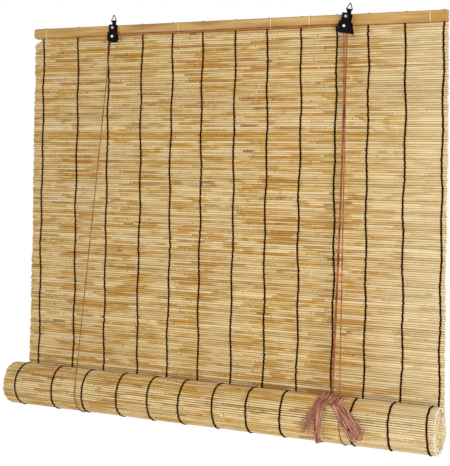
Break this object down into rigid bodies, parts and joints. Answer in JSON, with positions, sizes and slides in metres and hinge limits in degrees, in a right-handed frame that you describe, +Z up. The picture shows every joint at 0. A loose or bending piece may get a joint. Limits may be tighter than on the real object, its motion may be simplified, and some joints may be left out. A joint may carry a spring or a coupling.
{
  "type": "reed roll-up blind",
  "caption": "Roll-up blind of natural reeds bound with dark threads under a bamboo head rail, wound below on a roll that cords lift through a pulley and a cord lock; hangs by wire rings.",
  "frame": {"origin": "centre of the head rail's flat back face", "axes": "+X right as seen from the room, +Y towards the wall, +Z up"},
  "size_m": [1, 0.1186, 0.9038],
  "materials": {
    "reed": "natural reed, pale straw with brown streaks",
    "pole": "sanded wood",
    "bamboo": "honey coloured bamboo",
    "thread": "black twisted cotton",
    "cord": "dusty red braided cord",
    "black_steel": "black enamel",
    "bright_steel": "bright zinc",
    "wheel": "black nylon"
  },
  "bodies": {
    "root": {"reed_sheet": "reed", "binding_thread_01": "thread", "binding_thread_02": "thread", "binding_thread_03": "thread", "binding_thread_04": "thread", "binding_thread_05": "thread", "binding_thread_06": "thread", "binding_thread_07": "thread", "binding_thread_08": "thread", "binding_thread_09": "thread", "binding_thread_10": "thread", "binding_thread_11": "thread", "binding_thread_12": "thread", "binding_thread_13": "thread", "front_rail": "bamboo", "back_rail": "bamboo", "rail_nails": "bright_steel", "pulley_back_plate": "black_steel", "pulley_front_plate": "black_steel", "pulley_axle_rivet": "bright_steel", "pulley_screw": "bright_steel", "pulley_spacer_sleeve": "bright_steel", "lock_back_plate": "black_steel", "lock_front_plate": "black_steel", "lock_axle_rivet": "bright_steel", "lock_screw": "bright_steel", "lock_spacer_sleeve": "bright_steel", "left_lift_cord_front": "cord", "right_lift_cord_front": "cord", "pull_cord_front": "cord", "pull_cord_rear": "cord", "left_lift_cord_back": "cord", "right_lift_cord_back": "cord", "rail_cord": "cord", "lock_cord_bend": "cord"},
    "carrier": {"left_lift_cord_wrap": "cord", "right_lift_cord_wrap": "cord", "cord_hank": "cord"},
    "roll": {"reed_roll": "reed", "roll_threads": "thread", "bottom_pole": "pole"},
    "pulley_wheel": {"pulley_wheel": "wheel"},
    "lock_rear_wheel": {"lock_rear_wheel": "wheel"},
    "lock_front_wheel": {"lock_front_wheel": "wheel"},
    "lock_roller": {"lock_roller": "bright_steel"},
    "pulley_ring": {"pulley_hanging_ring": "black_steel"},
    "lock_ring": {"lock_hanging_ring": "black_steel"}
  },
  "joints": [
    {"name": "blind_lift", "type": "slide", "parent": "root", "child": "carrier", "axis": [0, 0, 1], "range_m": [0, 0.65], "deforming": ["reed_sheet", "binding_thread_01", "binding_thread_02", "binding_thread_03", "binding_thread_04", "binding_thread_05", "binding_thread_06", "binding_thread_07", "binding_thread_08", "binding_thread_09", "binding_thread_10", "binding_thread_11", "binding_thread_12", "binding_thread_13", "left_lift_cord_front", "right_lift_cord_front", "pull_cord_front", "pull_cord_rear", "left_lift_cord_back", "right_lift_cord_back"]},
    {"name": "roll_turn", "type": "hinge", "parent": "carrier", "child": "roll", "pos_m": [0, -0.05595, -0.8165], "axis": [1, 0, 0], "range_deg": [-813, 0]},
    {"name": "pulley_wheel_spin", "type": "hinge", "parent": "root", "child": "pulley_wheel", "pos_m": [-0.275, -0.0253, -0.0145], "axis": [0, 1, 0], "range_deg": [0, 14898]},
    {"name": "lock_rear_wheel_spin", "type": "hinge", "parent": "root", "child": "lock_rear_wheel", "pos_m": [0.286, -0.0253, -0.0145], "axis": [0, 1, 0], "range_deg": [0, 14898]},
    {"name": "lock_front_wheel_spin", "type": "hinge", "parent": "root", "child": "lock_front_wheel", "pos_m": [0.286, -0.0316, -0.0145], "axis": [0, 1, 0], "range_deg": [-14898, 0]},
    {"name": "lock_roller_slide", "type": "slide", "parent": "root", "child": "lock_roller", "axis": [0.515, 0, 0.8572], "range_m": [0, 0.005]},
    {"name": "pulley_ring_swing", "type": "hinge", "parent": "root", "child": "pulley_ring", "pos_m": [-0.27439, -0.02336, 0.02049], "axis": [0.9998, 0, -0.0175], "range_deg": [-90, 90]},
    {"name": "lock_ring_swing", "type": "hinge", "parent": "root", "child": "lock_ring", "pos_m": [0.29268, -0.02336, 0.01986], "axis": [0.9816, 0, -0.1908], "range_deg": [-90, 90]}
  ],
  "couplings": [
    {"joint": "roll_turn", "follows": "blind_lift", "rad_per_m": -21.787},
    {"joint": "pulley_wheel_spin", "follows": "blind_lift", "rad_per_m": 400},
    {"joint": "lock_rear_wheel_spin", "follows": "blind_lift", "rad_per_m": 400},
    {"joint": "lock_front_wheel_spin", "follows": "blind_lift", "rad_per_m": -400}
  ]
}
